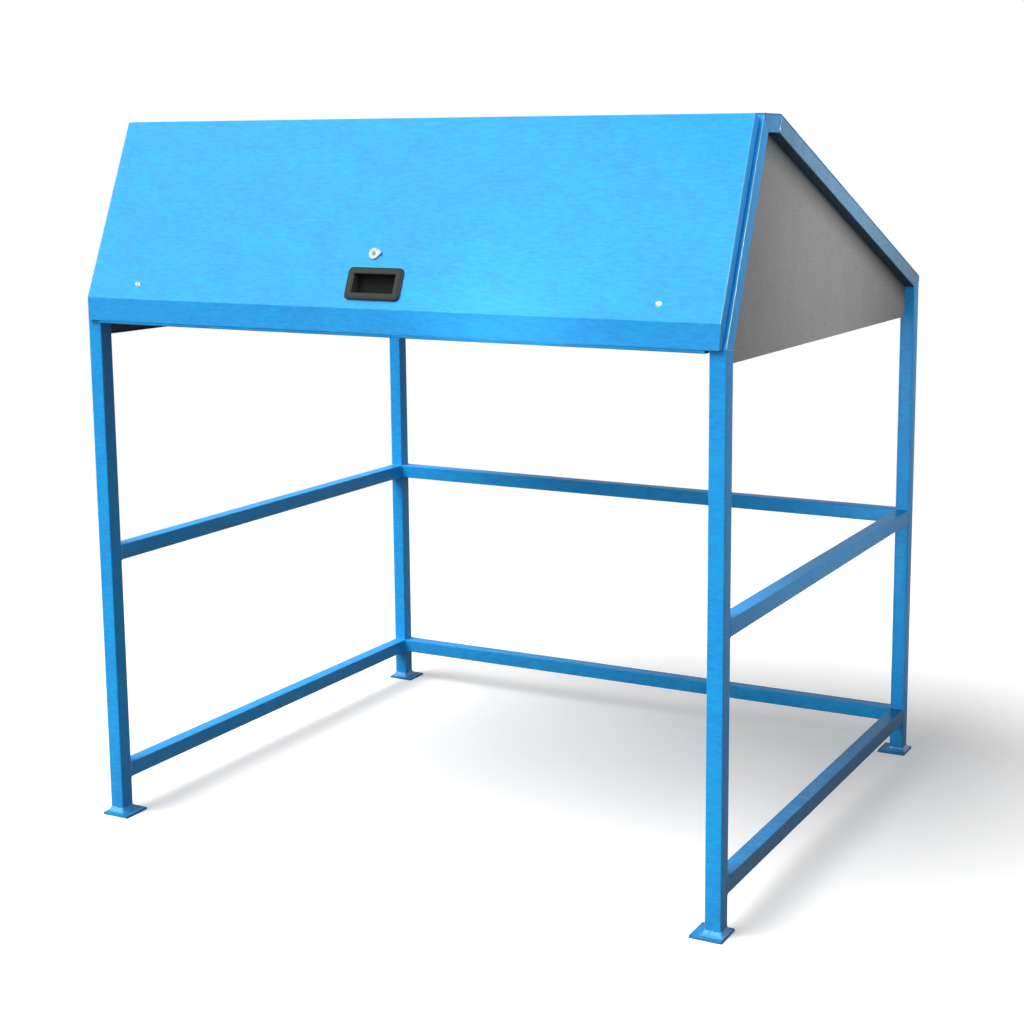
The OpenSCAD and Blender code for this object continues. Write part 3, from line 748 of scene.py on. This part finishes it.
def bead(name, loops, radius):
    """Weld beads along closed loops of points."""
    curve = bpy.data.curves.new(name, "CURVE")
    curve.dimensions = "3D"
    curve.bevel_depth = radius
    curve.bevel_resolution = 2
    for loop in loops:
        points = stepped(loop, radius * 1.1)
        spline = curve.splines.new("POLY")
        spline.points.add(len(points) - 1)
        spline.use_cyclic_u = True
        for k, (target, point) in enumerate(zip(spline.points, points)):
            target.co = (*point, 1)
            target.radius = ripple(k, BEAD_RIPPLE)
    holder = new_object(name + "_path", curve)
    bpy.context.view_layer.update()
    graph = bpy.context.evaluated_depsgraph_get()
    mesh = bpy.data.meshes.new_from_object(holder.evaluated_get(graph))
    bpy.data.objects.remove(holder)
    bm = bmesh.new()
    bm.from_mesh(mesh)
    bpy.data.meshes.remove(mesh)
    bmesh.ops.recalc_face_normals(bm, faces=bm.faces)
    return finish_piece(name, bm, "frame", "blue_paint", [WELD_COAT], WELD_SMOOTH)


finish_piece("foot_welds", foot_fillets(), "frame", "blue_paint", [WELD_COAT], WELD_SMOOTH)

rail_loops = []
for rail in ("left_middle_rail", "right_middle_rail", "left_bottom_rail", "right_bottom_rail"):
    rail_loops += [seam_loop(rail, corner, ALONG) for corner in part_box(rail)]
for rail in ("rear_middle_rail", "rear_bottom_rail"):
    rail_loops += [seam_loop(rail, corner, ACROSS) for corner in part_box(rail)]
bead("rail_welds", rail_loops, BEAD)
beam_loops = []
for beam in ("ridge_beam", "roof_purlin", "eaves_beam"):
    beam_loops += [seam_loop(beam, corner, ACROSS, -BEAM_INSET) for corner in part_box(beam)]
bead("beam_welds", beam_loops, BEAD)


def mitre_loops():
    """The four seams of each gable frame, from the front post over the ridge to the rear post."""
    corners = ((Vector((0, FRONT_Y, BEND_Z)), UP, UP_SLOPE, "front_rafter"),
               (Vector((0, RIDGE_FRONT_Y, RIDGE_Z)), UP_SLOPE, ALONG, "ridge_bar"),
               (Vector((0, RIDGE_REAR_Y, RIDGE_Z)), ALONG, DOWN_ROOF, "rear_rafter"),
               (Vector((0, REAR_Y, EAVES_Z)), DOWN_ROOF, -UP, "rear_rafter"))
    loops = []
    for side in ("left", "right"):
        for point, coming, going, tube in corners:
            loops.append(seam_loop(side + "_" + tube, point, (coming + going).normalized()))
    return loops


bead("gable_seams", mitre_loops(), SEAM)


# Roof: one sheet over the ridge and down the rear slope, held by rivets

EAVES_LIP = 0.014
ROOF_RUN = (REAR_Y - RIDGE_REAR_Y) / math.cos(REAR_SLOPE)
RIVET_MARGIN = 0.06
EAVES_MARGIN = 0.03
RIVETS_DOWN = 6
RIVETS_ACROSS = 4
RIVET_PROFILE = ((0, 0.0016), (0.0008, 0.0015), (0.0010, 0.0012), (0.0026, 0.0011),
                 (0.0042, 0.0007), (0.0048, 0.0002), (0.0048, -0.0006), (0, -0.0006))


def roof_shell():
    eaves = Vector((0, REAR_Y + SHEET, EAVES_Z - EAVES_LIP))
    ridge_rear = on_roof(0, 0, 0) + (UP + ROOF_OUT) * SHEET / (1 + UP.dot(ROOF_OUT))
    lower = on_roof(0, ROOF_RUN, 0)
    lower += (ROOF_OUT + ALONG) * SHEET / (1 + ROOF_OUT.dot(ALONG))
    front = Vector((0, ROOF_LOW.y, ROOF_HIGH.z))
    bm = folded_strip((front, ridge_rear, lower, eaves), HALF_W)
    bmesh.ops.recalc_face_normals(bm, faces=bm.faces)
    round_bends(bm, BEND_OFFSET)
    face_out(bm, UP)
    return bm


roof = finish_piece("roof_shell", roof_shell(), "frame", "blue_paint", [ROOF_COAT, INNER_COAT])
give_thickness(roof, SHEET, 1)
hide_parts("roof_sheet")


def roof_rivets():
    """Blind rivets down each rear rafter and across the purlin and the eaves beam."""
    places = []
    for x in (-HALF_W + TUBE / 2, HALF_W - TUBE / 2):
        pitch = (ROOF_RUN - 2 * RIVET_MARGIN) / (RIVETS_DOWN - 1)
        places += [(x, RIVET_MARGIN + k * pitch) for k in range(RIVETS_DOWN)]
    for run in (0.5 * ROOF_RUN, ROOF_RUN - EAVES_MARGIN):
        pitch = 2 * HALF_W / (RIVETS_ACROSS + 1)
        places += [(-HALF_W + (k + 1) * pitch, run) for k in range(RIVETS_ACROSS)]
    stands = [frame_of(on_roof(x, run, SHEET), ACROSS, DOWN_ROOF) for x, run in places]
    return copies(turned(RIVET_PROFILE, 16), stands)


finish_piece("roof_rivets", roof_rivets(), "frame", "zinc_steel")


# Lock: a cast collar on a threaded barrel

LOCK_X, LOCK_S = -0.030, 0.182
BORE = 0.00605  # radius
BARREL_FOOT = 0.0085  # radius
BARREL_LOW = -0.007 - HOOD_RISE
THREAD_TOP = -0.002
THREAD_STEPS = 28
THREAD_START = 0.001  # above the foot of the barrel
THREAD_ROOT, THREAD_CREST = 0.0089, 0.0095
COLLAR_LOW = -0.0002
RECESS_Z = 0.0025  # the face round the plug
COLLAR_PROFILE = ((0.0136, COLLAR_LOW), (0.0140, 0.0004), (0.0140, 0.0022), (0.0136, 0.0032),
                  (0.0128, 0.0038), (0.0118, 0.0040), (0.0098, 0.0040), (0.0091, 0.0037),
                  (0.0088, 0.0028), (0.0084, RECESS_Z))


def lock_collar():
    rise = (THREAD_TOP - BARREL_LOW) / THREAD_STEPS
    thread = [(THREAD_CREST if k % 2 else THREAD_ROOT, BARREL_LOW + THREAD_START + k * rise)
              for k in range(THREAD_STEPS + 1)]
    bm = turned([(BORE, BARREL_LOW), (BARREL_FOOT, BARREL_LOW), *thread,
                 (THREAD_CREST, COLLAR_LOW), *COLLAR_PROFILE, (BORE, RECESS_Z),
                 (BORE, BARREL_LOW)], 48)
    bm.transform(frame_of(on_slope(LOCK_X, LOCK_S, HOOD_RISE), ACROSS, UP_SLOPE))
    return bm


collar = finish_piece("lock_collar", lock_collar(), "hood", "cast_zinc")
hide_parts("lock_case")


# Studio

AMBIENT = 0.26  # white light from all round, on the object
FLOOR_BOUNCE = 0.04  # how much light the floor throws back on the object
FLOOR_LIFT = 0.25  # glow of the floor as it is seen
FLOOR_FADE = (1.6, 4.5)  # metres from the middle, over which the floor turns white


def seen_ray(tree):
    """1 for rays from the camera, mirrors and glass, and 0 for the light on the object."""
    path = add(tree, "ShaderNodeLightPath").outputs
    mirrored = math_node(tree, "MAXIMUM", path["Is Glossy Ray"], path["Is Transmission Ray"])
    return math_node(tree, "MAXIMUM", path["Is Camera Ray"], mirrored)


def mix_shader(tree, factor, a, b):
    node = add(tree, "ShaderNodeMixShader")
    for socket, source in zip(node.inputs, (factor, a, b)):
        link(tree, source, socket)
    return node.outputs[0]


def make_floor():
    bpy.ops.mesh.primitive_plane_add(size=400, location=(0, 0, 0))
    floor = bpy.context.object
    floor.name = "studio_floor"
    material = bpy.data.materials.new("floor_white")
    material.use_nodes = True
    tree = material.node_tree
    tree.nodes.clear()
    out = add(tree, "ShaderNodeOutputMaterial")
    pale = add(tree, "ShaderNodeBsdfPrincipled")
    pale.inputs["Base Color"].default_value = (0.9, 0.9, 0.9, 1)
    pale.inputs["Roughness"].default_value = 1
    pale.inputs["Specular IOR Level"].default_value = 0
    pale.inputs["Emission Color"].default_value = (1, 1, 1, 1)
    pale.inputs["Emission Strength"].default_value = FLOOR_LIFT
    glow = add(tree, "ShaderNodeEmission")
    glow.inputs["Color"].default_value = (1, 1, 1, 1)
    dim = add(tree, "ShaderNodeBsdfDiffuse")
    dim.inputs["Color"].default_value = (FLOOR_BOUNCE, FLOOR_BOUNCE, FLOOR_BOUNCE, 1)
    coords = add(tree, "ShaderNodeTexCoord").outputs["Object"]
    distance = add(tree, "ShaderNodeVectorMath", operation="LENGTH")
    link(tree, coords, distance.inputs[0])
    fade = ramp(tree, distance.outputs["Value"], *FLOOR_FADE)
    shown = mix_shader(tree, fade, pale.outputs[0], glow.outputs[0])
    both = mix_shader(tree, seen_ray(tree), dim.outputs[0], shown)
    link(tree, both, out.inputs["Surface"])
    floor.data.materials.append(material)


def make_world():
    world = bpy.data.worlds.new("studio")
    bpy.context.scene.world = world
    world.use_nodes = True
    tree = world.node_tree
    back = tree.nodes["Background"]
    back.inputs["Color"].default_value = (1, 1, 1, 1)
    amount = plus(tree, times(tree, seen_ray(tree), 1.0 - AMBIENT), AMBIENT)
    link(tree, amount, back.inputs["Strength"])


def make_sun(name, place, strength, spread):
    """Parallel light from this place towards the origin, softened by a spread in degrees."""
    data = bpy.data.lights.new(name, "SUN")
    data.energy = strength
    data.angle = math.radians(spread)
    lamp = new_object(name, data)
    lamp.location = place
    lamp.rotation_euler = (-Vector(place)).to_track_quat("-Z", "Y").to_euler()
    lamp.visible_glossy = False


def make_panel_light(name, place, target, size, power, spread, only_mirrored=False):
    """A rectangular lamp, in metres, watts and degrees, that either lights or is only mirrored."""
    data = bpy.data.lights.new(name, "AREA")
    data.shape = "RECTANGLE"
    data.size, data.size_y = size
    data.energy = power
    data.spread = math.radians(spread)
    lamp = new_object(name, data)
    lamp.location = place
    lamp.rotation_euler = (Vector(target) - Vector(place)).to_track_quat("-Z", "Y").to_euler()
    lamp.visible_diffuse = not only_mirrored
    lamp.visible_glossy = only_mirrored
    lamp.visible_camera = False


make_floor()
make_world()
make_sun("key", (-3.2, -3.6, 6.8), 3.45, 45)
make_sun("front_fill", (-1.0, -6.0, 1.0), 0.9, 40)
make_panel_light("side_fill", (2.3, 0.1, 1.8), (0.88, 0.0, 1.65), (0.6, 1.2), 4.5, 80)
make_panel_light("rear_fill", (-0.6, -3.2, 0.9), (0.88, 0.7, 0.8), (0.2, 1.3), 0.6, 12)
make_panel_light("edge_light", (2.0, -1.02, 1.97), (0.87, -0.64, 1.55), (0.5, 0.8), 110, 180, True)
make_panel_light("sheen", (-3.6, -5.2, 4.6), (0, -0.4, 1.4), (5.0, 4.0), 260, 180, True)

# Camera at the photograph's viewpoint: place, turn, tilt, roll and focal length in image pixels
EYE = Vector((2.276, -4.1289, 1.7191))
YAW, PITCH, ROLL = 0.464, -0.158, -0.002
FOCAL_PX = 1748.1
CENTRE_PX = (594.5, 439.4)
IMAGE_PX = (1024, 1014)
SENSOR = 36.0


def make_camera():
    level = math.cos(PITCH)
    ahead = Vector((-math.sin(YAW) * level, math.cos(YAW) * level, math.sin(PITCH)))
    right = Vector((math.cos(YAW), math.sin(YAW), 0))
    up = right.cross(ahead)
    right, up = (math.cos(ROLL) * right + math.sin(ROLL) * up,
                 math.cos(ROLL) * up - math.sin(ROLL) * right)
    data = bpy.data.cameras.new("photo_view")
    data.sensor_width = SENSOR
    data.lens = FOCAL_PX * SENSOR / IMAGE_PX[0]
    data.shift_x = (IMAGE_PX[0] / 2 - CENTRE_PX[0]) / IMAGE_PX[0]
    data.shift_y = (CENTRE_PX[1] - IMAGE_PX[1] / 2) / IMAGE_PX[0]
    camera = new_object("photo_view", data)
    turn = Matrix((right, up, -ahead)).transposed().to_4x4()
    camera.matrix_world = Matrix.Translation(EYE) @ turn
    bpy.context.scene.camera = camera


make_camera()
bpy.context.scene.view_settings.view_transform = "Standard"
